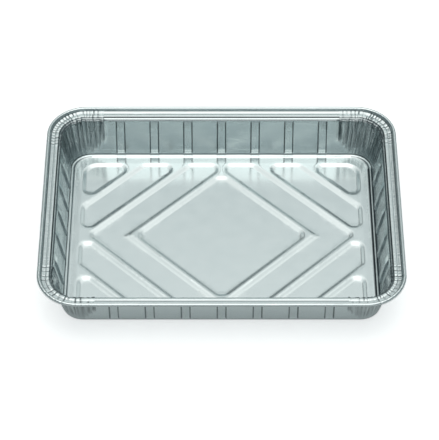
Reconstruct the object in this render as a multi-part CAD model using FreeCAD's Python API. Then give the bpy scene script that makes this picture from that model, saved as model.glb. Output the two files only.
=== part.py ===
import FreeCAD, Part
import math
import os

Vector = FreeCAD.Vector

# Overall size, over the rolled bead
LENGTH = 320.0
WIDTH = 247.0
HEIGHT = 45.0
CORNER_RADIUS = 36.0
FOIL = 0.2

# Rim, from the rolled bead inwards
BEAD_RADIUS = 1.7
FLANGE_GAP = 0.8
FLANGE_WIDTH = 6.0
FLANGE_DROP = 3.4
FLANGE_DIP = 0.5
RISER_RUN = 0.8
RISER_HEIGHT = 1.1
SHOULDER_WIDTH = 1.4
SHOULDER_DROP = 1.3
LIP_WIDTH = 0.9
LIP_DROP = 0.2

# Walls, ledge and floor border
WALL_RUN = 5.7
FOOT_RADIUS = 20.0
LEDGE_WIDTH = 2.2
LEDGE_FALL = 0.2
LEDGE_RUN = 1.4
LEDGE_HEIGHT = 2.0
BORDER_WIDTH = 8.7
BORDER_HEIGHT = 1.6

# Upright ribs pressed into the walls
WALL_RIB_WIDTH = 8.4
WALL_RIB_CREST = 6.6
WALL_RIB_DEPTH = 1.4
WALL_RIB_PITCH_LONG = 31.2
WALL_RIB_PITCH_SHORT = 29.9
WALL_RIB_FOOT_RAMP = 3.2
WALL_RIB_TOP_RAMP = 8.5
WALL_RIB_FOOT_GAP = 1.0
WALL_RIB_TOP_GAP = 0.6
WALL_RIB_SIDE_GAP = 5.0

# Slanting ribs that stand between the pressed floor panels
FLOOR_RIB_FIRST = 57.3
FLOOR_RIB_PITCH = 30.0
FLOOR_RIB_CREST = 1.6
FLOOR_RIB_BEND = 9.0
PANEL_SLOPE = 4.0
PANEL_CORNER = 12.0
TIP_CUT = 9.5
TIP_OVERLAP = 1.0

# Gathered corners: folds round the bend and on the straight run each side of it
BEND_FOLDS = 8
LEAD_FOLDS = 2
LEAD_LENGTH = 14.0
FOLD_DEPTH = 0.8
CRIMP_LIFT = 0.35

BEAD_SIDES = 8
QUADRANTS = ((1, 1), (-1, 1), (-1, -1), (1, -1))
WALLS = ((0, LENGTH, WIDTH, WALL_RIB_PITCH_SHORT), (90, WIDTH, LENGTH, WALL_RIB_PITCH_LONG),
         (180, LENGTH, WIDTH, WALL_RIB_PITCH_SHORT), (270, WIDTH, LENGTH, WALL_RIB_PITCH_LONG))

# Insets from the bead's outer edge, and heights of the foil's middle
FLANGE_OUT = 2 * BEAD_RADIUS + FLANGE_GAP
FLANGE_IN = FLANGE_OUT + FLANGE_WIDTH
SHOULDER_OUT = FLANGE_IN + RISER_RUN
SHOULDER_IN = SHOULDER_OUT + SHOULDER_WIDTH
WALL_TOP = SHOULDER_IN + LIP_WIDTH
WALL_FOOT = WALL_TOP + WALL_RUN
LEDGE_IN = WALL_FOOT + LEDGE_WIDTH
BORDER_OUT = LEDGE_IN + LEDGE_RUN
PANEL_EDGE = BORDER_OUT + BORDER_WIDTH
BORDER_Z = BORDER_HEIGHT + FOIL / 2
LEDGE_Z = BORDER_Z + LEDGE_HEIGHT
FLANGE_Z = HEIGHT - FLANGE_DROP
SHOULDER_Z = FLANGE_Z - RISER_HEIGHT
LIP_Z = SHOULDER_Z - SHOULDER_DROP
WALL_TOP_Z = LIP_Z - LIP_DROP


def rim_bend(inset):
    """Corner radius that runs even with the bead."""
    return CORNER_RADIUS - inset


def foot_bend(inset):
    """Corner radius that runs even with the wall's foot."""
    return FOOT_RADIUS - (inset - WALL_FOOT)


def section_line():
    """Middle of the foil, from floor border to bead: inset, height, corner radius, fold, lift."""
    flange_middle = (FLANGE_IN + FLANGE_OUT) / 2
    return [
        (BORDER_OUT, BORDER_Z, foot_bend(BORDER_OUT), 0, 0),
        (LEDGE_IN, LEDGE_Z - LEDGE_FALL, foot_bend(LEDGE_IN), 0, 0),
        (WALL_FOOT, LEDGE_Z, foot_bend(WALL_FOOT), FOLD_DEPTH, 0),
        (WALL_TOP, WALL_TOP_Z, rim_bend(WALL_TOP), FOLD_DEPTH, 0),
        (SHOULDER_IN, LIP_Z, rim_bend(SHOULDER_IN), FOLD_DEPTH / 2, 0),
        (SHOULDER_OUT, SHOULDER_Z, rim_bend(SHOULDER_OUT), FOLD_DEPTH / 2, 0),
        (FLANGE_IN, FLANGE_Z, rim_bend(FLANGE_IN), FOLD_DEPTH / 4, CRIMP_LIFT / 2),
        (flange_middle, FLANGE_Z - FLANGE_DIP, rim_bend(flange_middle), 0, CRIMP_LIFT),
        (FLANGE_OUT, FLANGE_Z, rim_bend(FLANGE_OUT), 0, 0),
    ]


def offset_line(line, distance):
    """The section line moved sideways by a distance, with mitred bends; its first point stays level."""
    moved = []
    last = len(line) - 1
    for index, (inset, z, radius, fold, lift) in enumerate(line):
        before = line[max(index - 1, 0)]
        after = line[min(index + 1, last)]
        normal_in = unit_normal(before, line[index]) if index > 0 else (0.0, 1.0)
        normal_out = unit_normal(line[index], after) if index < last else normal_in
        spread = 1 + normal_in[0] * normal_out[0] + normal_in[1] * normal_out[1]
        step = distance * (normal_in[0] + normal_out[0]) / spread
        rise = distance * (normal_in[1] + normal_out[1]) / spread
        moved.append((inset + step, z + rise, radius - step, fold, lift))
    return moved


def unit_normal(start, end):
    """Unit direction square to one run of the section, towards the tray's inside."""
    run = end[0] - start[0]
    rise = end[1] - start[1]
    length = math.hypot(run, rise)
    return (rise / length, -run / length)


def bead_line():
    """The rolled bead's round, from under the flange's edge, out and over to its top."""
    turn = 2 * math.pi / BEAD_SIDES
    points = []
    for side in range(1, BEAD_SIDES):
        angle = -side * turn
        inset = BEAD_RADIUS * (1 + math.cos(angle))
        z = HEIGHT - BEAD_RADIUS * (1 - math.sin(angle))
        points.append((inset, z, rim_bend(inset), 0, 0))
    return points


def fold_share(step):
    """How far one fold stands out or in, uneven along the gather and none at its ends."""
    steps = 2 * (BEND_FOLDS + 2 * LEAD_FOLDS)
    if step in (0, steps):
        return 0.0
    side = 1 if step % 2 else -1
    return side * (0.72 + 0.28 * math.sin(2.3 * step))


def corner_stations(centre_x, centre_y, radius):
    """Points and outward directions round one corner, from the short side to the long side."""
    lead_steps = 2 * LEAD_FOLDS
    bend_steps = 2 * BEND_FOLDS
    stations = []
    for step in range(lead_steps, 0, -1):
        stations.append((centre_x + radius, centre_y - LEAD_LENGTH * step / lead_steps, 1.0, 0.0))
    for step in range(bend_steps + 1):
        angle = math.pi / 2 * step / bend_steps
        out_x = math.cos(angle)
        out_y = math.sin(angle)
        stations.append((centre_x + radius * out_x, centre_y + radius * out_y, out_x, out_y))
    for step in range(1, lead_steps + 1):
        stations.append((centre_x - LEAD_LENGTH * step / lead_steps, centre_y + radius, 0.0, 1.0))
    return stations


def ring(inset, z, radius, fold, lift):
    """The tray's outline at one point of its section, with the corners gathered into folds."""
    centre_x = LENGTH / 2 - inset - radius
    centre_y = WIDTH / 2 - inset - radius
    outline = []
    for sign_x, sign_y in QUADRANTS:
        corner = []
        for step, (x, y, out_x, out_y) in enumerate(corner_stations(centre_x, centre_y, radius)):
            share = fold_share(step)
            x += share * fold * out_x
            y += share * fold * out_y
            corner.append(Vector(sign_x * x, sign_y * y, z + share * lift))
        if sign_x * sign_y < 0:
            corner.reverse()
        outline.extend(corner)
    return Part.makePolygon(outline + outline[:1])


def pressed_blank():
    """Floor, ledge, walls and rolled rim as one skin of foil, before ribs and panels are pressed."""
    line = section_line()
    under = offset_line(line, -FOIL / 2)
    over = offset_line(line, FOIL / 2)
    rings = [ring(*point) for point in under + bead_line() + over[::-1]]
    faces = [Part.Face(rings[0]), Part.Face(rings[-1])]
    for before, after in zip(rings, rings[1:]):
        faces.extend(Part.makeLoft([before, after], False, True).Faces)
    skin = Part.makeShell(faces)
    skin.sewShape()
    return Part.makeSolid(skin)


def rib_solid(frame, along, side):
    """One wall rib: the space behind its foil (side -1), or that space with the foil on (side 1)."""
    foot, across, up, inward = frame
    slope_length = math.hypot(WALL_RUN, WALL_TOP_Z - LEDGE_Z)
    flank = (WALL_RIB_WIDTH - WALL_RIB_CREST) / 2
    base = -FOIL if side < 0 else 0.0
    wires = []
    for depth in (base, WALL_RIB_DEPTH + side * FOIL / 2):
        share = depth / WALL_RIB_DEPTH

        def reach(run):
            """How far a sloping face lies inside the rib's base edge at this depth."""
            return run * share - side * FOIL / 2 * math.hypot(1, run / WALL_RIB_DEPTH)

        half = WALL_RIB_WIDTH / 2 - reach(flank)
        low = WALL_RIB_FOOT_GAP + reach(WALL_RIB_FOOT_RAMP)
        high = slope_length - WALL_RIB_TOP_GAP - reach(WALL_RIB_TOP_RAMP)
        corners = ((-half, low), (half, low), (half, high), (-half, high))
        points = [foot + across * (along + a) + up * s + inward * depth for a, s in corners]
        wires.append(Part.makePolygon(points + points[:1]))
    return Part.makeLoft(wires, True, True)


def wall_ribs(side):
    """All the wall ribs, evenly spaced on each wall between its gathered corners."""
    solids = []
    rise = WALL_TOP_Z - LEDGE_Z
    slope_length = math.hypot(WALL_RUN, rise)
    for heading, depth_across, length, pitch in WALLS:
        turn = FreeCAD.Rotation(Vector(0, 0, 1), heading)
        foot = turn.multVec(Vector(depth_across / 2 - WALL_FOOT, 0, LEDGE_Z))
        across = turn.multVec(Vector(0, 1, 0))
        up = turn.multVec(Vector(WALL_RUN, 0, rise)) / slope_length
        inward = turn.multVec(Vector(-rise, 0, WALL_RUN)) / slope_length
        plain = length - 2 * (CORNER_RADIUS + LEAD_LENGTH + WALL_RIB_SIDE_GAP)
        count = int((plain - WALL_RIB_WIDTH) / pitch) + 1
        for index in range(count):
            along = (index - (count - 1) / 2) * pitch
            solids.append(rib_solid((foot, across, up, inward), along, side))
    return solids


def rounded_rectangle(half_x, half_y, radius, z, turned=0):
    """A level rectangle outline with round corners, turned about the tray's middle."""
    edges = []
    for heading in (0, 90, 180, 270):
        turn = FreeCAD.Rotation(Vector(0, 0, 1), heading + turned)
        out, along = (half_x, half_y) if heading % 180 == 0 else (half_y, half_x)
        slack = radius * (1 - math.sqrt(0.5))
        start = turn.multVec(Vector(out, radius - along, z))
        end = turn.multVec(Vector(out, along - radius, z))
        middle = turn.multVec(Vector(out - slack, along - slack, z))
        stop = turn.multVec(Vector(out - radius, along, z))
        edges.append(Part.LineSegment(start, end).toShape())
        edges.append(Part.Arc(end, middle, stop).toShape())
    return Part.Wire(edges)


def sloped_block(half_x, half_y, radius, low, high, slope, turned=0):
    """A block whose sides lean out by slope per millimetre of height; its size holds at mid slope."""
    wires = []
    middle = FOIL + BORDER_HEIGHT / 2
    for z in (low, high):
        grow = slope * (z - middle)
        wires.append(rounded_rectangle(half_x + grow, half_y + grow, radius + grow, z, turned))
    return Part.makeLoft(wires, True, True)


def floor_rib(middle, low, high):
    """One diamond-shaped rib round the floor's centre, its crest at the border's level."""
    lean = PANEL_SLOPE / BORDER_HEIGHT
    outer = middle + (FLOOR_RIB_CREST + PANEL_SLOPE) / 2
    inner = middle - (FLOOR_RIB_CREST + PANEL_SLOPE) / 2
    round_out = sloped_block(outer, outer, FLOOR_RIB_BEND, low, high, -lean, 45)
    round_in = sloped_block(inner, inner, FLOOR_RIB_BEND, low, high, lean, 45)
    return round_out.cut(round_in)


def blunt_tip(edge, tip, heading, side, low, high):
    """Raised corner that blunts a panel's sharp tip, where a slanting rib's outer side meets the border."""
    lean = PANEL_SLOPE / BORDER_HEIGHT
    room = PANEL_SLOPE + TIP_OVERLAP
    turn = FreeCAD.Rotation(Vector(0, 0, 1), heading)
    wires = []
    for z in (low, high):
        cut = TIP_CUT - PANEL_SLOPE / 2 + lean * (high - z)
        corners = ((edge + room, tip - room - TIP_OVERLAP), (edge + room, tip + cut), (edge - cut - TIP_OVERLAP, tip + cut))
        points = [turn.multVec(Vector(out, side * along, z)) for out, along in corners]
        wires.append(Part.makePolygon(points + points[:1]))
    return Part.makeLoft(wires, True, True)


def floor_recess():
    """The space pressed down into the floor, between the border and the slanting ribs."""
    low = FOIL
    high = FOIL + BORDER_HEIGHT
    half_x = LENGTH / 2 - PANEL_EDGE - PANEL_SLOPE / 2
    half_y = WIDTH / 2 - PANEL_EDGE - PANEL_SLOPE / 2
    lean = PANEL_SLOPE / BORDER_HEIGHT
    recess = sloped_block(half_x, half_y, PANEL_CORNER, low, high + FOIL / 2, lean)
    reach = (half_x + half_y) / math.sqrt(2)
    room = FLOOR_RIB_CREST + 2 * PANEL_SLOPE
    count = int((reach - room - FLOOR_RIB_FIRST) / FLOOR_RIB_PITCH) + 1
    for index in range(count):
        middle = FLOOR_RIB_FIRST + index * FLOOR_RIB_PITCH
        recess = recess.cut(floor_rib(middle, low, high))
        outer = (middle + (FLOOR_RIB_CREST + PANEL_SLOPE) / 2) * math.sqrt(2)
        for heading, edge in ((0, half_x), (90, half_y), (180, half_x), (270, half_y)):
            tip = outer - edge
            if tip + TIP_CUT > 0:
                tips = [blunt_tip(edge, tip, heading, side, low, high) for side in (1, -1)]
                recess = recess.cut(tips)
    return recess


def build_tray():
    """The whole tray as one solid of foil."""
    tray = pressed_blank()
    recess = floor_recess()
    tray = tray.fuse([recess.translated(Vector(0, 0, -FOIL))] + wall_ribs(1))
    return tray.cut([recess] + wall_ribs(-1))


os.makedirs("parts", exist_ok=True)
foil_tray = build_tray()
foil_tray.exportStep("parts/foil_tray.step")
print("foil_tray", len(foil_tray.Solids), foil_tray.isValid(), round(foil_tray.Volume), foil_tray.BoundBox)
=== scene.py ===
import math

import bpy
import numpy as np
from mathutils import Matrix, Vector
from mathutils.geometry import delaunay_2d_cdt


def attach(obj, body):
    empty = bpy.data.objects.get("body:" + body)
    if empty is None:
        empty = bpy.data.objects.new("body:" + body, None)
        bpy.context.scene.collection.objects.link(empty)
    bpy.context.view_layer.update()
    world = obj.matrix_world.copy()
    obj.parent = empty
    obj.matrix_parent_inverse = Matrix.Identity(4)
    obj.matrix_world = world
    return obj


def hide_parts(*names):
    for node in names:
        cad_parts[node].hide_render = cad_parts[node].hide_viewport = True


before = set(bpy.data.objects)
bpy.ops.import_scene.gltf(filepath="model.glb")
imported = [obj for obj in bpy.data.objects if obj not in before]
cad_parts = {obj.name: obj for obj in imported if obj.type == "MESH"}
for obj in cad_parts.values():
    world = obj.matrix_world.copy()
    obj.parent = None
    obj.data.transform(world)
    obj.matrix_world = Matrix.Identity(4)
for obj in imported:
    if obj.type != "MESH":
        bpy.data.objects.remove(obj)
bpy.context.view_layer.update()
MM = 0.001

# Overall size of the tray in millimetres, as in its CAD record
LENGTH = 320.0
WIDTH = 247.0
CORNER_RADIUS = 36.0
FOIL = 0.2

# Rolled bead at the rim: its edge curls in over the first steps, and its underside is folded tight; painted
# shade darkens that underside
BEAD_CENTRE_INSET = 1.7
BEAD_CENTRE_Z = 43.3
BEAD_ROUND = 1.6
BEAD_FIRST_ANGLE = -205
BEAD_STEP_ANGLE = 35
BEAD_EDGE_CURL = 0.35
BEAD_EDGE_STEPS = 2
# Painted shade on the bead at each step, 0 to 1, darkest on its underside
BEAD_PAINTED_SHADE = (0, 0.5, 1.0, 1.0, 1.0, 0.85, 0.3, 0, 0, 0, 0, 0)

# The front bead hangs a little lower than the others
FRONT_DROOP = 0.9
DROOP_FROM = 98.0
DROOP_RUN = 20.0
DROOP_INNER = 4.6
DROOP_INNER_RUN = 1.2

# Section over the flange and down to the wall's top: inset, height, painted shade at a tight fold
RIM_SECTION = (
    (3.42, 42.6, 0.2), (3.7, 41.95, 0.7), (4.25, 41.6, 0.3), (4.7, 41.5, 0), (6.0, 41.2, 0),
    (6.8, 41.05, 0.2), (7.15, 41.02, 0.9), (7.55, 41.2, 0.6), (7.95, 41.42, 0), (8.8, 41.5, 0),
    (9.9, 41.52, 0), (10.4, 41.4, 0.5), (10.75, 40.95, 1.0), (11.1, 40.42, 1.0), (11.4, 40.2, 0.2),
    (12.2, 39.9, 0), (12.5, 39.6, 0.2), (12.75, 39.2, 0.6), (13.05, 39.02, 0.5))

# Sloping wall, with a slight curve inwards at its foot, and the ledge below it
WALL_TOP = (13.3, 39.0)
WALL_FOOT = (20.3, 2.7)
WALL_HEIGHTS = (38.5, 36.4, 34.2, 32.0, 30.0, 27.0, 23.2, 19.2, 15.2, 11.0, 6.9, 5.2, 3.7, 3.2)
WALL_CURVE = 0.2
WALL_CURVE_TOP = 8.0
# Painted shade on the wall's lowest points, below this height
WALL_SHADE_BELOW = 3.4
WALL_FOOT_PAINTED_SHADE = 0.3
WALL_SWELL = 0.06
WALL_SWELL_HEIGHT = 36
WALL_SWELL_SIZE = 17
WAVES = 6
WAVE_STRETCH = (0.6, 1.7)
# Foot and ledge: inset, height, painted shade at the folds of foot and ledge
FOOT_SECTION = (
    (20.5, 2.6, 1.0), (20.9, 2.5, 0.8), (21.3, 2.66, 0), (22.1, 2.6, 0), (22.6, 2.45, 0),
    (23.0, 2.15, 0.4), (23.7, 1.55, 0.4), (24.2, 1.36, 0.1), (25.2, 1.32, 0))
FOOT_RADIUS = 19.0
LEDGE_EDGE = 22.5

# Two lines of painted shade at the foot of the right wall: insets and painted shade
RIGHT_FOOT_INSETS = (20.5, 21.3, 21.9, 22.4, 22.9, 24.0, 24.8)
RIGHT_FOOT_PAINTED_SHADE = (1, 1, 0, 0, 1, 1, 0)

# Upright ribs in the walls
RIB_PITCH_LONG = 31.2
RIB_PITCH_SHORT = 29.9
RIBS_LONG = 7
RIBS_SHORT = 5
RIB_HALF = 4.2
RIB_CREST_HALF = 3.4
RIB_DEPTH = 1.4
RIB_TOP = 38.5
RIB_TOP_RAMP = 8.5
RIB_FOOT = 3.7
RIB_FOOT_RAMP = 3.2
RIB_STATIONS = (-4.6, -4.2, -3.4, -3.0, 0.0, 3.0, 3.4, 4.2, 4.6)
# Painted shade along the ribs' flanks, on long and short walls
RIB_FLANK_PAINTED_SHADE_LONG = 0.65
RIB_FLANK_PAINTED_SHADE_SHORT = 0.4
STATION_GAP = 4.6
LAST_STATION_GAP = 3.5
CLOSING_GAP = 0.7
FLANGE_INSET = 10.0

# Gathered corners: folds on the bend and on the straight run each side of it
GATHER_LONG = 108.5
GATHER_SHORT = 74.0
GATHER_RADIUS = 26
GATHER_FOOT_REACH = 23.0
LEAD_STEP = 0.95
BEND_STEPS = 60
FOLD_HEIGHTS = (0.0, 0.2, 0.45, 0.7, 1.0)
FOLD_REACH = 46
FOLD_FADE = 0.9
GATHER_WIDEN_FROM = 0.1
GATHER_WIDEN_RUN = 0.36
GATHER_GROW_RUN = 0.3
GATHER_GROW_POWER = 0.7

# Coarse and fine folds of a corner: pitch, unevenness, depth, lean
FOLD_LAYERS = ((5.2, 0.6, 0.85, 5.0), (2.6, 0.5, 0.3, 4.0))
FOLD_DEPTHS = (0.4, 1.0)
FOLD_LEANS = (-0.2, 1)
FOLD_FADES = (0.2, 1.1)
FIRST_FOLD_DEPTH = 0.9
FIRST_FOLD_WIDTH = 2.2
GATHER_DRAW_IN = 0.2

# Crimps across the flange in the corners
CRIMP_GAPS = (3, 4, 4, 5)
CRIMP_FRONT_GAP = 2
CRIMP_DEPTH = 0.45
CRIMP_TILT = 0.1
CRIMP_LONGEST_GAP = 8
CRIMP_CYCLE = 11
CRIMP_SHARED = 7
CRIMP_SHARES = (0.5, 1.0)
CRIMP_INNER_FROM = 6.6
CRIMP_INNER_RUN = 1.4
BEAD_PINCH = 0.49

# Streaks and painted shade of the rim: on the short sides' flange, and in the corners; painted shade also in
# the corners' folds and crimps
SHORT_RIM_STREAKS = 0.35
CORNER_RIM_STREAKS = 0.4
SHORT_VALLEY = (6.5, 8)
SHORT_VALLEY_SHADE_SHARE = 0.35
RISER_FROM = 10.0
RISER_RUN = 2.5
RISER_DARK_FROM = 10.8
RISER_DARK_RUN = 1.2
RISER_PAINTED_SHADE_MOST = 0.6
PAINTED_SHADE_MOST = 0.8
FOLD_PAINTED_SHADE = 0.3
FOLD_PAINTED_SHADE_PER_MM = 0.4
CRIMP_PAINTED_SHADE_PER_MM = 2.4
CRIMP_LIGHT = 0.3
CORNER_EVEN = 0.6

# Floor: border, slanting ribs and the panels pressed down between them, measured at mid slope
BORDER_Z = 1.7
PANEL_Z = 0.1
BORDER_FALL = 0.055
BORDER_FALL_START = 1.5
BORDER_FALL_RUN = 7
FIELD_HALF = (126.7, 90.2)
FIELD_CORNER = 12.0
FLOOR_RIBS = (57.3, 87.3, 117.3)
FLOOR_RIB_HALF = 2.8
FLOOR_RIB_BEND = 9.0
SLOPE = 4.0
SLOPE_EASE = 0.25
TIP_CUT = 9.5
PANEL_BENDS = (5.5, 6.0, 6.0)
PANEL_SWELL = 0.12
PANEL_SWELL_SIZE = 22

# Net of points on the floor: rows beside each rib, loops along the border's slope, and a wide net between
RIB_ROWS = (-6.0, -4.9, -3.9, -2.8, -1.8, -0.8, 0, 0.8, 1.8, 2.8, 3.9, 4.9, 6.0)
BORDER_LOOPS = (-7.0, -4.2, -2.6, -1.7, -0.8, 0.0, 0.8, 1.7, 2.6, 3.8, 5.4)
FINE_PITCH = 2.3
WIDE_PITCH = 4.2
LOOP_WIDE_PITCH = 4
LOOP_FINE_WITHIN = 5
ROWS_WITHIN = 4.2
NET_WITHIN = 6.5
NEAREST = 0.75
NET_ROWS = 22
NET_COLUMNS = 31
SMOOTH_ANGLE = 50

# Brightness of the studio by height, in four directions, and along the room for what lies low
LIGHT_TOP = 1.5
BACK_LIGHT = (
    (0.0, 0.16), (0.25, 0.2), (0.39, 0.62), (0.47, 0.76), (0.58, 0.74), (0.69, 0.47), (0.718, 0.48),
    (0.735, 0.8), (0.76, 0.94), (0.85, 0.92), (0.91, 1.05), (0.96, LIGHT_TOP))
FRONT_LIGHT = (
    (0.0, 0.2), (0.3, 0.3), (0.46, 0.38), (0.52, 0.5), (0.62, 0.9), (0.85, 0.93), (0.905, 1.38),
    (0.96, LIGHT_TOP))
SIDE_LIGHT = (
    (0.0, 0.12), (0.3, 0.18), (0.5, 0.26), (0.66, 0.32), (0.76, 0.5), (0.84, 0.85), (0.91, 1.05),
    (0.96, LIGHT_TOP))
LOW_BAYS = (
    (0.0, 0.8), (0.14, 0.8), (0.16, 0.35), (0.185, 0.35), (0.22, 1.0), (0.29, 1.0), (0.33, 0.45),
    (0.38, 0.45), (0.44, 1.0), (0.56, 1.0), (0.62, 0.82), (0.67, 0.82), (0.71, 1.0), (0.78, 1.0),
    (0.83, 0.9))

# Camera of the photograph, in millimetres, and its lens in pixels of the picture's width
CAMERA_PLACE = (-1.85, -1449.1, 1521.2)
CAMERA_AIM = (-1.85, 19.96, 0)
LENS_PIXELS = 2324
PICTURE_WIDTH = 439
SENSOR = 36
TABLE_SIZE = 6


def rise(value, start, run):
    """Share from 0 to 1 as a value goes from a start over a run."""
    return float(np.clip((value - start) / run, 0, 1))


def pleat_line(random, start, end, pitch, uneven):
    """Places along a gather where the foil turns in or out, unevenly spaced."""
    places = [start]
    while places[-1] < end:
        places.append(places[-1] + pitch / 2 * (1 + uneven * random.uniform(-1, 1)))
    return np.array(places)


def straight_stations(half, pitch, ribs):
    """Places along one wall between its gathers: close together at the ribs' flanks."""
    places = []
    for index in range(ribs):
        middle = (index - (ribs - 1) / 2) * pitch
        places += [middle + offset for offset in RIB_STATIONS]
    gaps = []
    for before, after in zip(places, places[1:]):
        steps = int(math.ceil((after - before) / STATION_GAP))
        gaps += [before + (after - before) * step / steps for step in range(steps)]
    last = places[-1]
    steps = int(math.ceil((half - last) / LAST_STATION_GAP))
    outer = [last + (half - last) * step / steps for step in range(steps + 1)]
    return [-place for place in reversed(outer[1:])] + gaps + outer


def outline_stations():
    """Stations round the tray, counter-clockwise from the right wall: kind, wall's heading, place, gather."""
    short = (GATHER_SHORT, RIB_PITCH_SHORT, RIBS_SHORT, WIDTH)
    long = (GATHER_LONG, RIB_PITCH_LONG, RIBS_LONG, LENGTH)
    stations = []
    for heading, (gather, pitch, ribs, span) in ((0, short), (90, long), (180, short), (270, long)):
        lead = span / 2 - CORNER_RADIUS - gather
        steps = int(round(lead / LEAD_STEP))
        for step in range(steps):
            stations.append(("lead_in", heading, step / steps, gather))
        for place in straight_stations(gather, pitch, ribs):
            stations.append(("straight", heading, place, gather))
        for step in range(1, steps + 1):
            stations.append(("lead_out", heading, step / steps, gather))
        for step in range(1, BEND_STEPS):
            stations.append(("bend", heading, step / BEND_STEPS, gather))
    return stations


STATIONS = outline_stations()


def place_on_ring(station, inset, radius):
    """Point and outward direction of one station at a given inset and corner radius."""
    kind, heading, value, gather = station
    across = LENGTH / 2 if heading % 180 == 0 else WIDTH / 2
    along = WIDTH / 2 if heading % 180 == 0 else LENGTH / 2
    out = across - inset
    centre = along - inset - radius
    normal = (1.0, 0.0)
    if kind == "straight":
        point = (out, value)
    elif kind == "lead_in":
        point = (out, -centre + (centre - gather) * value)
    elif kind == "lead_out":
        point = (out, gather + (centre - gather) * value)
    else:
        angle = math.pi / 2 * value
        normal = (math.cos(angle), math.sin(angle))
        point = (out - radius + radius * normal[0], centre + radius * normal[1])
    turn = math.radians(heading)
    cos, sin = round(math.cos(turn)), round(math.sin(turn))
    return ((point[0] * cos - point[1] * sin, point[0] * sin + point[1] * cos),
            (normal[0] * cos - normal[1] * sin, normal[0] * sin + normal[1] * cos))


def gather_place(station):
    """Corner, place along its gather and the gather's reach, or None between gathers."""
    kind, heading, value, gather = station
    span = WIDTH if heading % 180 == 0 else LENGTH
    lead = span / 2 - CORNER_RADIUS - gather
    bend = math.pi / 2 * GATHER_RADIUS
    if kind == "lead_out":
        return heading // 90, -bend / 2 - lead * (1 - value), bend / 2 + lead
    if kind == "bend":
        return heading // 90, bend * (value - 0.5), bend / 2 + lead
    if kind == "lead_in":
        return (heading // 90 - 1) % 4, bend / 2 + lead * value, bend / 2 + lead
    return None


def wall_inset(z):
    """Inset of the sloping wall at a height."""
    share = (z - WALL_FOOT[1]) / (WALL_TOP[1] - WALL_FOOT[1])
    curve = WALL_CURVE * max((WALL_CURVE_TOP - z) / (WALL_CURVE_TOP - WALL_FOOT[1]), 0) ** 2
    return WALL_FOOT[0] + (WALL_TOP[0] - WALL_FOOT[0]) * share + curve


def section():
    """The foil's section from the curled edge inside the bead down to the floor border."""
    points = []
    for step, painted_shade in enumerate(BEAD_PAINTED_SHADE):
        angle = math.radians(BEAD_FIRST_ANGLE + BEAD_STEP_ANGLE * step)
        reach = BEAD_ROUND - BEAD_EDGE_CURL * max(BEAD_EDGE_STEPS - step, 0) / BEAD_EDGE_STEPS
        inset = BEAD_CENTRE_INSET - reach * math.cos(angle)
        points.append((inset, BEAD_CENTRE_Z + reach * math.sin(angle), "bead", painted_shade))
    points += [(inset, z, "rim", painted_shade) for inset, z, painted_shade in RIM_SECTION]
    points += [(wall_inset(z), z, "wall", WALL_FOOT_PAINTED_SHADE if z < WALL_SHADE_BELOW else 0) for z in WALL_HEIGHTS]
    points += [(inset, z, "foot", painted_shade) for inset, z, painted_shade in FOOT_SECTION]
    return points


SECTION = section()


def corner_radius(inset, z):
    """Corner radius along the section: even with the bead at the top, even with the foot below."""
    rim = CORNER_RADIUS - inset
    foot = FOOT_RADIUS - (inset - WALL_FOOT[0])
    share = min(max((z - WALL_FOOT[1]) / (WALL_TOP[1] - WALL_FOOT[1]), 0), 1)
    return foot + (rim - foot) * share


def rib_press(along, z, pitch, ribs):
    """How far a wall rib pushes the foil inwards at a place, and whether the place is on its flank."""
    nearest = round(along / pitch + (ribs - 1) / 2)
    nearest = min(max(nearest, 0), ribs - 1)
    offset = abs(along - (nearest - (ribs - 1) / 2) * pitch)
    flank = rise(RIB_HALF, offset, RIB_HALF - RIB_CREST_HALF)
    top = rise(RIB_TOP, z, RIB_TOP_RAMP)
    foot = rise(z, RIB_FOOT, RIB_FOOT_RAMP)
    on_flank = RIB_CREST_HALF - 0.1 < offset < RIB_HALF + 0.1 and RIB_FOOT < z < RIB_TOP
    return RIB_DEPTH * min(flank, top, foot), 1.0 if on_flank else 0.0


def corner_gathers(seed):
    """Random but repeatable leaning folds of one corner's wall, in a coarse and a fine layer."""
    random = np.random.RandomState(seed)
    layers = []
    for pitch, uneven, strength, lean in FOLD_LAYERS:
        places = pleat_line(random, -FOLD_REACH, FOLD_REACH, pitch, uneven)
        side = np.where(np.arange(len(places)) % 2 == 0, 1.0, -1.0)
        strengths = side * strength * random.uniform(*FOLD_DEPTHS, len(places))
        leans = lean * random.uniform(*FOLD_LEANS, len(places)) * np.sign(places)
        fades = random.uniform(*FOLD_FADES, (len(places), len(FOLD_HEIGHTS)))
        layers.append((places, strengths, leans, fades))
    return layers


GATHERS = [corner_gathers(seed) for seed in (11, 23, 37, 41)]


def gather_press(corner, along, z, reach):
    """Outward move of the wall's foil in a corner's gather, widest at the rim, and the gather's share."""
    height = (z - WALL_FOOT[1]) / (WALL_TOP[1] - WALL_FOOT[1])
    edge = GATHER_FOOT_REACH + (reach - GATHER_FOOT_REACH) * rise(height, GATHER_WIDEN_FROM, GATHER_WIDEN_RUN)
    inside = rise(edge, abs(along), FOLD_FADE)
    grow = rise(height, 0, GATHER_GROW_RUN) ** GATHER_GROW_POWER
    total = 0.0
    for places, strengths, leans, fades in GATHERS[corner]:
        moved = places + leans * (height - 0.5)
        order = np.argsort(moved)
        fade = np.array([np.interp(height, FOLD_HEIGHTS, row) for row in fades])
        total += np.interp(along, moved[order], (strengths * fade)[order])
    first_fold = -FIRST_FOLD_DEPTH * float(np.clip(1 - (edge - abs(along)) / FIRST_FOLD_WIDTH, 0, 1))
    return grow * inside * (total + first_fold - GATHER_DRAW_IN), grow * inside


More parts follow.
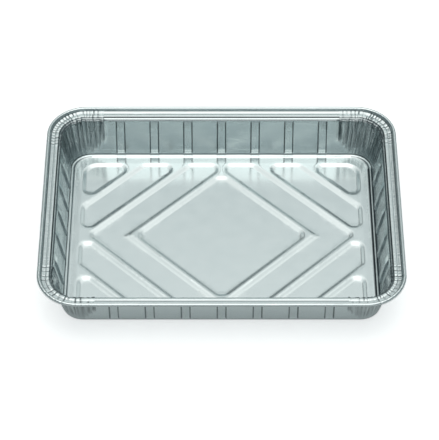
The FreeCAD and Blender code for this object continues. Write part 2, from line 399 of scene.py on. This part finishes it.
def crimp_lifts(seed, missing):
    """Lift of the flange at every station: narrow crimps, and slightly tilted plates between them."""
    random = np.random.RandomState(seed)
    lifts = np.zeros(len(STATIONS) + CRIMP_LONGEST_GAP)
    place = 0
    while place < len(STATIONS):
        spot = gather_place(STATIONS[place])
        gap = int(random.choice(CRIMP_GAPS)) + (CRIMP_FRONT_GAP if spot is not None and spot[0] > 1 else 0)
        lifts[place:place + gap] = np.linspace(*random.uniform(-CRIMP_TILT, CRIMP_TILT, 2), gap)
        if random.uniform() > missing:
            lifts[place] = -CRIMP_DEPTH * random.uniform(*CRIMP_SHARES)
        place += gap
    return lifts


# Most crimps run right across the flange, and the others stop at its dip
OUTER_CRIMPS = crimp_lifts(5, 0.1)
SHARED = np.arange(len(OUTER_CRIMPS)) % CRIMP_CYCLE < CRIMP_SHARED
INNER_CRIMPS = np.where(SHARED, OUTER_CRIMPS, crimp_lifts(8, 0.2))


def soft_wave(x, y, seed, size):
    """A smooth uneven swell of about unit height, from a few crossing waves."""
    random = np.random.RandomState(seed)
    total = 0.0
    for _ in range(WAVES):
        angle = random.uniform(0, math.tau)
        stretch = random.uniform(*WAVE_STRETCH)
        phase = random.uniform(0, math.tau)
        total += math.sin((x * math.cos(angle) + y * math.sin(angle)) / size * stretch + phase)
    return total / WAVES


def fold_places():
    """Distance of every station round the tray, for patterns that follow the folds."""
    places = [0.0]
    spots = [place_on_ring(station, FLANGE_INSET, CORNER_RADIUS - FLANGE_INSET)[0] for station in STATIONS]
    for before, after in zip(spots, spots[1:]):
        places.append(places[-1] + math.hypot(after[0] - before[0], after[1] - before[1]))
    return places


AROUND = fold_places()


def developed_lengths():
    """Distance of every ring from the floor, measured along the foil."""
    lengths = [0.0]
    for after, before in zip(SECTION[::-1], SECTION[-2::-1]):
        lengths.append(lengths[-1] + math.hypot(after[0] - before[0], after[1] - before[1]))
    return lengths[::-1]


def plain_form(station, inset, z, part, painted_shade, x, y):
    """Outward move, streaks and painted shade of the foil from a wall's ribs, its swell and the folds along
    it.
    """
    kind, heading, value, _ = station
    long_wall = heading % 180 != 0
    move, streaks = 0.0, 0.0
    if part == "wall":
        if kind == "straight":
            pitch, ribs = (RIB_PITCH_LONG, RIBS_LONG) if long_wall else (RIB_PITCH_SHORT, RIBS_SHORT)
            press, flank = rib_press(value, z, pitch, ribs)
            move = -press
            # Painted shade along the rib's flank
            painted_shade = max(painted_shade, (RIB_FLANK_PAINTED_SHADE_LONG if long_wall else RIB_FLANK_PAINTED_SHADE_SHORT) * flank)
        swell = math.sin(math.pi * rise(z, WALL_FOOT[1], WALL_SWELL_HEIGHT))
        move += WALL_SWELL * swell * soft_wave(x + 3 * z, y, 5, WALL_SWELL_SIZE)
    if part == "rim" and not long_wall and kind != "bend":
        streaks = SHORT_RIM_STREAKS
        # Less painted shade in the short sides' flange valley
        painted_shade *= SHORT_VALLEY_SHADE_SHARE if SHORT_VALLEY[0] < inset < SHORT_VALLEY[1] else 1
    if part == "foot" and kind != "bend":
        if long_wall and inset > LEDGE_EDGE:
            painted_shade = 0.0
        if heading == 0:
            # Two lines of painted shade at the right wall's foot
            painted_shade = float(np.interp(inset, RIGHT_FOOT_INSETS, RIGHT_FOOT_PAINTED_SHADE))
    return move, streaks, painted_shade


def gathered_form(number, spot, inset, z, part, streaks, painted_shade):
    """Outward move, lift, streaks and painted shade that a corner's folds and crimps add."""
    corner, along, reach = spot
    fade = rise(reach, abs(along), FOLD_FADE)
    outer, inner = OUTER_CRIMPS[number], INNER_CRIMPS[number]
    crimp = float(outer + (inner - outer) * rise(inset, CRIMP_INNER_FROM, CRIMP_INNER_RUN))
    if part == "wall":
        move, streaks = gather_press(corner, along, z, reach)
        # Painted shade in the gather's folds, deeper where the foil is pushed in
        painted_shade = max(painted_shade, streaks * float(np.clip(FOLD_PAINTED_SHADE - FOLD_PAINTED_SHADE_PER_MM * move, 0, PAINTED_SHADE_MOST)))
        return move, 0.0, streaks, painted_shade
    if part == "rim":
        near = rise(inset, RISER_FROM, RISER_RUN)
        move = near * gather_press(corner, along, min(z, WALL_TOP[1]), reach)[0]
        lift = fade * crimp * (1 - CORNER_EVEN * near)
        streaks = max(streaks, CORNER_RIM_STREAKS * fade)
        # Painted shade in each crimp's dip
        crimp_painted_shade = float(np.clip(-CRIMP_PAINTED_SHADE_PER_MM * crimp - CRIMP_LIGHT, 0, PAINTED_SHADE_MOST))
        painted_shade = painted_shade * (1 - CORNER_EVEN * fade) + fade * crimp_painted_shade
        # Painted shade on the riser down to the wall in the corners
        painted_shade = max(painted_shade, fade * min(rise(inset, RISER_DARK_FROM, RISER_DARK_RUN), RISER_PAINTED_SHADE_MOST))
        return move, lift, streaks, painted_shade
    if part == "bead":
        pinch = BEAD_PINCH * fade * max(-crimp, 0)
        return -pinch, -pinch, streaks, painted_shade
    return 0.0, 0.0, streaks, painted_shade


def ring_points():
    """Points of rim, walls and ledge: place, places on the flat blank and the folds, streaks, painted shade.
    """
    rings = []
    for (inset, z, part, section_painted_shade), length in zip(SECTION, developed_lengths()):
        radius = corner_radius(inset, z)
        ring = []
        for number, (station, around) in enumerate(zip(STATIONS, AROUND)):
            (x, y), (out_x, out_y) = place_on_ring(station, inset, radius)
            move, streaks, painted_shade = plain_form(station, inset, z, part, section_painted_shade, x, y)
            lift = -FRONT_DROOP * rise(-y, DROOP_FROM, DROOP_RUN) * rise(DROOP_INNER, inset, DROOP_INNER_RUN)
            spot = gather_place(station)
            if spot is not None:
                out, up, streaks, painted_shade = gathered_form(number, spot, inset, z, part, streaks, painted_shade)
                move += out
                lift += up
            ring.append((x + out_x * move, y + out_y * move, z + lift,
                         x + out_x * length, y + out_y * length, around, length, streaks, painted_shade))
        rings.append(ring)
    return rings


def box_distance(x, y, half_x, half_y, radius):
    """Distance to a rectangle with round corners, negative inside it."""
    far_x = np.abs(x) - half_x + radius
    far_y = np.abs(y) - half_y + radius
    outside = np.hypot(np.maximum(far_x, 0), np.maximum(far_y, 0))
    return outside + np.minimum(np.maximum(far_x, far_y), 0) - radius


def polygon_depth(x, y, corners, bend):
    """Distance into a polygon from its edge, negative outside, its outer corners rounded by a bend."""
    inset = []
    count = len(corners)
    for index in range(count):
        before, here, after = (np.array(corners[(index + step) % count]) for step in (-1, 0, 1))
        first = (here - before) / np.linalg.norm(here - before)
        second = (after - here) / np.linalg.norm(after - here)
        first_normal = np.array((-first[1], first[0]))
        second_normal = np.array((-second[1], second[0]))
        inset.append(here + bend * (first_normal + second_normal) / (1 + first_normal @ second_normal))
    nearest = np.full(np.shape(x), 1e9)
    within = np.zeros(np.shape(x), bool)
    for index in range(count):
        start, end = inset[index], inset[(index + 1) % count]
        run = end - start
        share = np.clip(((x - start[0]) * run[0] + (y - start[1]) * run[1]) / (run @ run), 0, 1)
        nearest = np.minimum(nearest, np.hypot(x - start[0] - share * run[0], y - start[1] - share * run[1]))
        crosses = (start[1] > y) != (end[1] > y)
        with np.errstate(divide="ignore", invalid="ignore"):
            within ^= crosses & (x < start[0] + (y - start[1]) * run[0] / run[1])
    return np.where(within, nearest, -nearest) + bend


def panel_corners():
    """Corners of the pressed panels in the back right quarter, counter-clockwise, sharp tips cut blunt."""
    half_x, half_y = FIELD_HALF
    inner = [(middle - FLOOR_RIB_HALF) * math.sqrt(2) for middle in FLOOR_RIBS]
    outer = [(middle + FLOOR_RIB_HALF) * math.sqrt(2) for middle in FLOOR_RIBS]
    top = [reach - half_y + TIP_CUT for reach in outer]
    side = [reach - half_x + TIP_CUT for reach in outer]
    chevron = (
        (top[0], -outer[0] + top[0]), (top[0], -half_y), (inner[1] - half_y, -half_y), (inner[1], 0),
        (inner[1] - half_y, half_y), (top[0], half_y), (top[0], outer[0] - top[0]), (outer[0], 0))
    slant = (
        (outer[1] - side[1], side[1]), (half_x, side[1]), (half_x, inner[2] - half_x),
        (inner[2] - half_y, half_y), (top[1], half_y), (top[1], outer[1] - top[1]))
    corner = (
        (outer[2] - side[2], side[2]), (half_x, side[2]), (half_x, half_y), (top[2], half_y),
        (top[2], outer[2] - top[2]))
    return chevron, slant, corner


def panel_distance(x, y):
    """Distance into a pressed panel from the middle of its slope, negative on ribs and border."""
    x = np.asarray(x, float)
    y = np.asarray(y, float)
    u = (x + y) / math.sqrt(2)
    v = (x - y) / math.sqrt(2)
    chevron, slant, corner = panel_corners()
    outer = FLOOR_RIBS[0] + FLOOR_RIB_HALF
    inner = FLOOR_RIBS[0] - FLOOR_RIB_HALF
    round_first = box_distance(u, v, outer, outer, FLOOR_RIB_BEND)
    middle = -box_distance(u, v, inner, inner, FLOOR_RIB_BEND)
    beside = np.minimum(polygon_depth(np.abs(x), y, chevron, PANEL_BENDS[0]), round_first)
    depth = np.maximum(middle, beside)
    depth = np.maximum(depth, polygon_depth(np.abs(x), np.abs(y), slant, PANEL_BENDS[1]))
    depth = np.maximum(depth, polygon_depth(np.abs(x), np.abs(y), corner, PANEL_BENDS[2]))
    return np.minimum(depth, -box_distance(x, y, *FIELD_HALF, FIELD_CORNER))


def floor_height(x, y):
    """Height of the floor's foil: border and ribs at the top, panels pressed down, slopes softened."""
    share = np.clip(panel_distance(x, y) / SLOPE + 0.5, 0, 1)
    eased = share * share * (3 - 2 * share)
    share = (1 - SLOPE_EASE) * share + SLOPE_EASE * eased
    swell = np.array([0.5 + 0.5 * soft_wave(a, b, 9, PANEL_SWELL_SIZE) for a, b in zip(x, y)])
    past_field = box_distance(x, y, *FIELD_HALF, FIELD_CORNER)
    fall = BORDER_FALL * np.clip(past_field - BORDER_FALL_START, 0, BORDER_FALL_RUN)
    return BORDER_Z - (BORDER_Z - PANEL_Z) * share + PANEL_SWELL * swell * share - fall


def field_depth(x, y):
    """Distance of a point into the floor's ribbed field."""
    return -box_distance(x, y, *FIELD_HALF, FIELD_CORNER)


def loop_points(half_x, half_y, radius, pitch):
    """Evenly spaced points along a rectangle with round corners."""
    points = []
    for sign_x, sign_y in ((1, 1), (-1, 1), (-1, -1), (1, -1)):
        steps = max(int(math.pi / 2 * radius / pitch), 2)
        for step in range(steps + 1):
            angle = math.pi / 2 * step / steps
            x = half_x - radius + radius * math.cos(angle)
            y = half_y - radius + radius * math.sin(angle)
            points.append((sign_x * x, sign_y * y))
    for sign in (1, -1):
        run = half_x - radius
        count = int(run / pitch)
        points += [(run * index / count, sign * half_y) for index in range(-count + 1, count)]
        run = half_y - radius
        count = int(run / pitch)
        points += [(sign * half_x, run * index / count) for index in range(-count + 1, count)]
    return points


def floor_points():
    """Points of the floor: rows along each rib and the border's slope, and a wide net between them."""
    points = []
    for middle in FLOOR_RIBS:
        for offset in RIB_ROWS:
            line = middle + offset
            count = int(line / FINE_PITCH)
            for index in range(-count, count + 1):
                slide = line * index / count
                for u, v in ((line, slide), (-line, slide), (slide, line), (slide, -line)):
                    points.append(((u + v) / math.sqrt(2), (u - v) / math.sqrt(2)))
    points = [point for point in points if field_depth(*point) > ROWS_WITHIN]
    for offset in BORDER_LOOPS:
        pitch = FINE_PITCH if abs(offset) < LOOP_FINE_WITHIN else LOOP_WIDE_PITCH
        radius = max(FIELD_CORNER - offset, 1)
        points += loop_points(FIELD_HALF[0] - offset, FIELD_HALF[1] - offset, radius, pitch)
    for row in range(-NET_ROWS, NET_ROWS + 1):
        for column in range(-NET_COLUMNS, NET_COLUMNS + 1):
            x, y = column * WIDE_PITCH + (row % 2) * WIDE_PITCH / 2, row * WIDE_PITCH
            if field_depth(x, y) > NET_WITHIN:
                points.append((x, y))
    return points


def thinned(points, room):
    """The points with those too near an earlier one left out."""
    kept = {}
    for x, y in points:
        cell = (int(math.floor(x / room)), int(math.floor(y / room)))
        near = (kept.get((cell[0] + a, cell[1] + b)) for a in (-1, 0, 1) for b in (-1, 0, 1))
        if all(other is None or math.hypot(x - other[0], y - other[1]) >= room for other in near):
            kept[cell] = (x, y)
    return list(kept.values())


def foil_skin():
    """The whole tray as one skin at the foil's middle: rings for rim and walls, a net for the floor."""
    rings = ring_points()
    count = len(STATIONS)
    last = (len(rings) - 1) * count
    points = [point for ring in rings for point in ring]
    faces = []
    for start in range(0, last, count):
        for index in range(count):
            after = (index + 1) % count
            faces.append((start + index, start + after, start + count + after, start + count + index))
    flat = [Vector(point[:2]) for point in rings[-1]]
    flat += [Vector(point) for point in thinned(floor_points(), NEAREST)]
    edges = [(index, (index + 1) % count) for index in range(count)]
    verts, _, net, origins, _, _ = delaunay_2d_cdt(flat, edges, [], 1, 0.001)
    heights = floor_height(np.array([vert[0] for vert in verts]), np.array([vert[1] for vert in verts]))
    names = []
    for vert, origin, height in zip(verts, origins, heights):
        source = origin[0] if origin else -1
        if 0 <= source < count:
            names.append(last + source)
        else:
            names.append(len(points))
            points.append((vert[0], vert[1], float(height), vert[0], vert[1], 0.0, 0.0, 0.0, 0.0))
    faces += [tuple(names[corner] for corner in face) for face in net]
    return points, faces


def foil_tray_piece():
    """The tray's mesh, with its places on the flat blank and along the folds as UV maps, and its thickness."""
    points, faces = foil_skin()
    count = len(STATIONS)
    mesh = bpy.data.meshes.new("pressed_foil")
    mesh.from_pydata([tuple(value * MM for value in point[:3]) for point in points], [], faces)
    piece = bpy.data.objects.new("pressed_foil", mesh)
    bpy.context.collection.objects.link(piece)
    blank = mesh.uv_layers.new(name="blank")
    folds = mesh.uv_layers.new(name="folds")
    total = AROUND[-1] + CLOSING_GAP
    for face in mesh.polygons:
        seam = face.vertices[0] % count == count - 1 and face.vertices[0] < len(SECTION) * count
        for loop in face.loop_indices:
            vertex = mesh.loops[loop].vertex_index
            point = points[vertex]
            around = total if seam and vertex % count == 0 else point[5]
            blank.data[loop].uv = (point[3] * MM, point[4] * MM)
            folds.data[loop].uv = (around * MM, point[6] * MM)
    # The gather attribute drives the fold bumps; the second attribute carries the painted shade
    for name, place in (("gather", 7), ("painted_shade_mask", 8)):
        layer = mesh.attributes.new(name, "FLOAT", "POINT")
        layer.data.foreach_set("value", [float(point[place]) for point in points])
    bpy.ops.object.select_all(action="DESELECT")
    bpy.context.view_layer.objects.active = piece
    piece.select_set(True)
    bpy.ops.object.mode_set(mode="EDIT")
    bpy.ops.mesh.select_all(action="SELECT")
    bpy.ops.mesh.normals_make_consistent(inside=False)
    bpy.ops.object.mode_set(mode="OBJECT")
    thickness = piece.modifiers.new("thickness", "SOLIDIFY")
    thickness.thickness = FOIL * MM
    thickness.offset = 0
    bpy.ops.object.modifier_apply(modifier="thickness")
    bpy.ops.object.shade_smooth_by_angle(angle=math.radians(SMOOTH_ANGLE))
    return piece


def linear(hex_colour):
    """An sRGB hex colour as the linear colour that the shader takes."""
    channels = [int(hex_colour[index:index + 2], 16) / 255 for index in (1, 3, 5)]
    return tuple(c / 12.92 if c <= 0.04045 else ((c + 0.055) / 1.055) ** 2.4 for c in channels) + (1.0,)


def add_node(tree, kind, settings=None, inputs=None, links=None):
    """Adds a node with its settings, input values, and links from other nodes' outputs."""
    node = tree.nodes.new(kind)
    for name, value in (settings or {}).items():
        setattr(node, name, value)
    for name, value in (inputs or {}).items():
        node.inputs[name].default_value = value
    for name, output in (links or {}).items():
        tree.links.new(output, node.inputs[name])
    return node


def new_material(name):
    """An empty node material and its tree."""
    material = bpy.data.materials.new(name)
    material.use_nodes = True
    material.node_tree.nodes.clear()
    return material, material.node_tree


def stretched_noise(tree, place, scale, settings):
    """Noise stretched along one direction of a UV map: its scale counts features in a metre."""
    mapping = add_node(tree, "ShaderNodeMapping", inputs={"Scale": scale},
                       links={"Vector": place.outputs["UV"]})
    noise = add_node(tree, "ShaderNodeTexNoise", inputs={"Scale": 1.0, **settings},
                     links={"Vector": mapping.outputs["Vector"]})
    return noise.outputs["Fac"]


def bump(tree, height, strength, distance, below=None):
    """A bump of a given depth in metres, on top of another."""
    links = {"Height": height}
    if below is not None:
        links["Normal"] = below.outputs["Normal"]
    return add_node(tree, "ShaderNodeBump", inputs={"Strength": strength, "Distance": distance}, links=links)


def rolled_foil():
    """Rolled aluminium foil, bright side up: a cool near-mirror with faint rolling lines and soft dents, and
    painted shade mixed into its colour.
    """
    material, tree = new_material("bright_rolled_aluminium_foil")
    blank = add_node(tree, "ShaderNodeUVMap", {"uv_map": "blank"})
    folds = add_node(tree, "ShaderNodeUVMap", {"uv_map": "folds"})
    gather = add_node(tree, "ShaderNodeAttribute", {"attribute_name": "gather"})
    painted_shade_mask = add_node(tree, "ShaderNodeAttribute", {"attribute_name": "painted_shade_mask"})
    # Rolling lines 17 mm long and 0.6 mm apart, coarser than the real ones so that they show
    grain = stretched_noise(tree, blank, (60.0, 1600.0, 1.0), {"Detail": 2.0})
    # Soft dents about 14 mm wide, which also make the finish a little uneven
    dent = add_node(tree, "ShaderNodeTexNoise", inputs={"Scale": 70.0, "Detail": 2.0, "Roughness": 0.45},
                    links={"Vector": blank.outputs["UV"]}).outputs["Fac"]
    rough = add_node(tree, "ShaderNodeMapRange",
                     inputs={"From Min": 0.3, "From Max": 0.7, "To Min": 0.17, "To Max": 0.22},
                     links={"Value": dent})
    # Fine creases of the gathers, 1.5 mm wide and 14 mm long, and light scuffs that run round the walls
    streaks = stretched_noise(tree, folds, (650.0, 70.0, 1.0), {"Detail": 1.0, "Distortion": 0.6})
    streak_height = add_node(tree, "ShaderNodeMath", {"operation": "MULTIPLY"},
                             links={0: streaks, 1: gather.outputs["Fac"]})
    scuffs = stretched_noise(tree, folds, (45.0, 420.0, 1.0), {"Detail": 0.0})
    scuff_ridge = add_node(tree, "ShaderNodeMapRange", {"interpolation_type": "SMOOTHSTEP"},
                           inputs={"From Min": 0.62, "From Max": 0.8}, links={"Value": scuffs})
    relief = bump(tree, grain, 0.12, 0.00002)
    relief = bump(tree, dent, 0.3, 0.0002, relief)
    relief = bump(tree, streak_height.outputs["Value"], 1.0, 0.0006, relief)
    relief = bump(tree, scuff_ridge.outputs["Result"], 1.0, 0.00006, relief)
    # Bright foil, mixed towards a dark painted shade colour by the painted shade mask: in folds and crimps,
    # under the bead, at the walls' foot and on rib flanks
    colour = add_node(tree, "ShaderNodeMix", {"data_type": "RGBA"},
                      inputs={6: linear("#E7EFEF"), 7: linear("#3A474C")},
                      links={"Factor": painted_shade_mask.outputs["Fac"]})
    # The rolling lines draw reflections out across them
    tangent = add_node(tree, "ShaderNodeTangent", {"direction_type": "UV_MAP", "uv_map": "blank"})
    shader = add_node(tree, "ShaderNodeBsdfPrincipled",
                      inputs={"Metallic": 1.0, "Anisotropic": 0.7, "Anisotropic Rotation": 0.25},
                      links={"Base Color": colour.outputs[2], "Roughness": rough.outputs["Result"],
                             "Normal": relief.outputs["Normal"], "Tangent": tangent.outputs["Tangent"]})
    add_node(tree, "ShaderNodeOutputMaterial", links={"Surface": shader.outputs["BSDF"]})
    return material


def studio_table():
    """Matt white table that keeps its shadow, and that camera, metal and glass see as plain white."""
    material, tree = new_material("matt_white_table")
    path = add_node(tree, "ShaderNodeLightPath")
    matt = add_node(tree, "ShaderNodeBsdfDiffuse", inputs={"Color": linear("#F6F8F8")})
    seen = add_node(tree, "ShaderNodeMath", {"operation": "MULTIPLY"}, inputs={1: 0.58},
                    links={0: path.outputs["Is Camera Ray"]})
    either = add_node(tree, "ShaderNodeMath", {"operation": "ADD"},
                      links={0: path.outputs["Is Glossy Ray"], 1: path.outputs["Is Transmission Ray"]})
    lift = add_node(tree, "ShaderNodeMath", {"operation": "MULTIPLY_ADD"}, inputs={1: 0.08},
                    links={0: either.outputs["Value"], 2: seen.outputs["Value"]})
    glow = add_node(tree, "ShaderNodeEmission", inputs={"Color": linear("#FFFFFF")},
                    links={"Strength": lift.outputs["Value"]})
    both = add_node(tree, "ShaderNodeAddShader", links={0: matt.outputs["BSDF"], 1: glow.outputs["Emission"]})
    add_node(tree, "ShaderNodeOutputMaterial", links={"Surface": both.outputs["Shader"]})
    return material


def ramp(tree, value, stops):
    """A colour ramp along a value: pairs of place and colour."""
    node = add_node(tree, "ShaderNodeValToRGB", links={"Fac": value})
    elements = node.color_ramp.elements
    while len(elements) < len(stops):
        elements.new(0.5)
    for element, (position, colour) in zip(elements, stops):
        element.position = position
        element.color = (*colour, 1)
    return node.outputs["Color"]


def light_colour(level):
    """A level of the studio's light as a share of its brightest, low levels a little blue."""
    red = min(0.775 + 0.205 * level, 1.0)
    blue = min(max(1.05 - 0.3 * (level - 0.45), 0.99), 1.05)
    return level * red / LIGHT_TOP, level / LIGHT_TOP, level * blue / LIGHT_TOP


def light_ramp(tree, height, stops):
    """The studio's light by height in one direction."""
    return ramp(tree, height, [(position, light_colour(level)) for position, level in stops])


def mixed(tree, factor, first, second, blend="MIX"):
    """Two colours mixed by a factor."""
    node = add_node(tree, "ShaderNodeMix", {"data_type": "RGBA", "blend_type": blend},
                    links={"Factor": factor, 6: first, 7: second})
    return node.outputs[2]


def ranged(tree, value, inputs, smooth=False):
    """A value mapped to another range."""
    settings = {"interpolation_type": "SMOOTHSTEP"} if smooth else {}
    return add_node(tree, "ShaderNodeMapRange", settings, inputs, {"Value": value}).outputs["Result"]


def studio_world():
    """A bright softbox overhead, white screens behind and in front, and darker ones at the sides."""
    world = bpy.data.worlds.new("studio")
    bpy.context.scene.world = world
    world.use_nodes = True
    tree = world.node_tree
    tree.nodes.clear()
    place = add_node(tree, "ShaderNodeTexCoord")
    parts = add_node(tree, "ShaderNodeSeparateXYZ", links={"Vector": place.outputs["Generated"]})
    across, deep, height = (parts.outputs[name] for name in "XYZ")
    back = light_ramp(tree, height, BACK_LIGHT)
    front = light_ramp(tree, height, FRONT_LIGHT)
    sides = light_ramp(tree, height, SIDE_LIGHT)
    facing = ranged(tree, deep, {"From Min": -0.2, "From Max": 0.25}, smooth=True)
    middle = mixed(tree, facing, front, back)
    # The side screens reach further in towards the front
    turned = add_node(tree, "ShaderNodeMath", {"operation": "ABSOLUTE"}, links={0: across})
    nearer = ranged(tree, deep, {"From Min": 0.3, "From Max": 0.66, "To Min": 0.28, "To Max": 0.0})
    spread = add_node(tree, "ShaderNodeMath", {"operation": "ADD"},
                      links={0: turned.outputs["Value"], 1: nearer})
    beside = ranged(tree, spread.outputs["Value"], {"From Min": 0.56, "From Max": 0.73}, smooth=True)
    light = mixed(tree, beside, middle, sides)
    # Darker bays between the screens, low in the room
    bays = ramp(tree, ranged(tree, across, {"From Min": -1.0, "From Max": 1.0}),
                [(position, (share, share, share)) for position, share in LOW_BAYS])
    low = ranged(tree, height, {"From Min": 0.74, "From Max": 0.82, "To Min": 1.0, "To Max": 0.0})
    shaded = mixed(tree, low, light, bays, "MULTIPLY")
    soft = add_node(tree, "ShaderNodeBackground", inputs={"Strength": LIGHT_TOP}, links={"Color": shaded})
    add_node(tree, "ShaderNodeOutputWorld", links={"Surface": soft.outputs["Background"]})


def studio_camera():
    """Camera at the photograph's angle: 46 degrees above the table, square to the long side."""
    lens = bpy.data.cameras.new("camera")
    lens.sensor_width = SENSOR
    lens.sensor_fit = "HORIZONTAL"
    lens.lens = LENS_PIXELS / PICTURE_WIDTH * SENSOR
    lens.clip_end = 100
    camera = bpy.data.objects.new("camera", lens)
    bpy.context.collection.objects.link(camera)
    place = Vector(CAMERA_PLACE) * MM
    aim = Vector(CAMERA_AIM) * MM
    camera.location = place
    camera.rotation_euler = (aim - place).to_track_quat("-Z", "Y").to_euler()
    bpy.context.scene.camera = camera


def table():
    """The white table under the tray."""
    bpy.ops.object.select_all(action="DESELECT")
    bpy.ops.mesh.primitive_plane_add(size=TABLE_SIZE, location=(0, 0, 0))
    top = bpy.context.active_object
    top.name = "table"
    top.data.materials.append(studio_table())


tray = foil_tray_piece()
tray.data.materials.append(rolled_foil())
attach(tray, "root")
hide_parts("foil_tray")
table()
studio_world()
studio_camera()
bpy.context.scene.view_settings.view_transform = "Standard"
